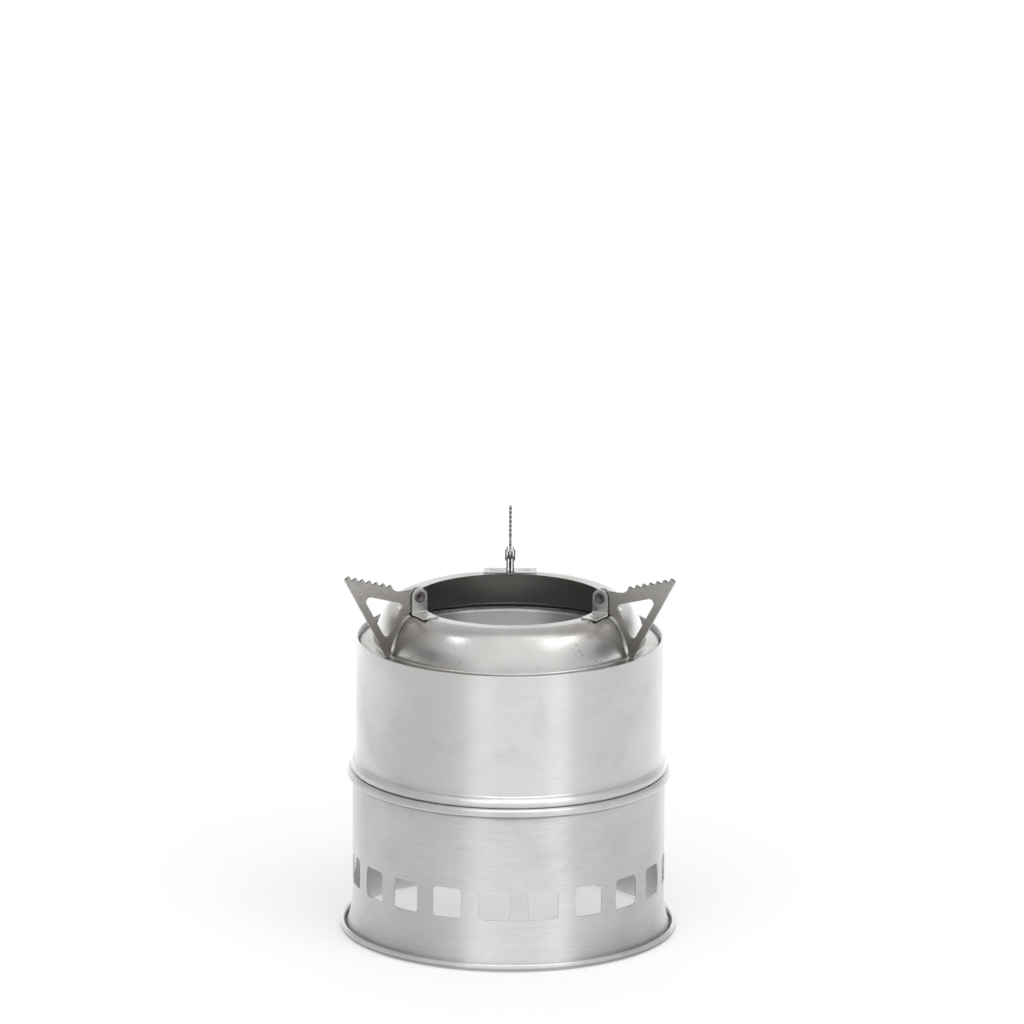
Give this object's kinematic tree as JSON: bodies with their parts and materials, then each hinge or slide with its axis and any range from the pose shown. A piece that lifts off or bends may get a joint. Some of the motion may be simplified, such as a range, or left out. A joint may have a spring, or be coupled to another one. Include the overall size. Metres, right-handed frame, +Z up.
{
  "type": "twig stove",
  "caption": "Nesting twig stove of thin stainless sheet: vented base ring, double-walled chamber, pan, and domed pot ring with fold-in serrated pot arms.",
  "frame": {"origin": "on the stove's axis, at the ground under the base ring's foot", "axes": "+Z up along the axis; +Y towards the rear arm; -Y is the front, with one arm to each side"},
  "size_m": [0.132, 0.1402, 0.1514],
  "materials": {
    "shell_steel": "finely brushed around the axis",
    "inner_steel": "satin",
    "grate_steel": "satin",
    "pan_steel": "finely brushed around the axis",
    "dome_steel": "satin polished, with faint stains",
    "bracket_steel": "satin",
    "rivet_steel": "dark satin",
    "arm_steel": "matt, slightly heat-tinted"
  },
  "bodies": {
    "base": {"base_shell": "shell_steel"},
    "chamber": {"outer_wall": "shell_steel", "inner_wall": "inner_steel", "fire_grate": "grate_steel"},
    "fire_pan": {"pan": "pan_steel"},
    "ring": {"pot_ring": "dome_steel", "bracket_rear_left": "bracket_steel", "bracket_rear_right": "bracket_steel", "bracket_left_rear": "bracket_steel", "bracket_left_front": "bracket_steel", "bracket_right_front": "bracket_steel", "bracket_right_rear": "bracket_steel", "rivet_rear": "rivet_steel", "rivet_left": "rivet_steel", "rivet_right": "rivet_steel"},
    "rear_arm": {"arm_rear": "arm_steel"},
    "left_arm": {"arm_left": "arm_steel"},
    "right_arm": {"arm_right": "arm_steel"}
  },
  "joints": [
    {"name": "chamber_lift", "type": "slide", "parent": "base", "child": "chamber", "axis": [0, 0, 1], "range_m": [0, 0.0532]},
    {"name": "pan_lift", "type": "slide", "parent": "chamber", "child": "fire_pan", "axis": [0, 0, 1], "range_m": [0, 0.0866]},
    {"name": "ring_lift", "type": "slide", "parent": "fire_pan", "child": "ring", "axis": [0, 0, 1], "range_m": [0, 0.0439]},
    {"name": "rear_arm_fold", "type": "hinge", "parent": "ring", "child": "rear_arm", "pos_m": [0, 0.0414, 0.13937], "axis": [-1, 0, 0], "range_deg": [-215, 0]},
    {"name": "left_arm_fold", "type": "hinge", "parent": "ring", "child": "left_arm", "pos_m": [-0.03585, -0.0207, 0.13937], "axis": [0.5, -0.866, 0], "range_deg": [-215, 0]},
    {"name": "right_arm_fold", "type": "hinge", "parent": "ring", "child": "right_arm", "pos_m": [0.03585, -0.0207, 0.13937], "axis": [0.5, 0.866, 0], "range_deg": [-215, 0]}
  ]
}
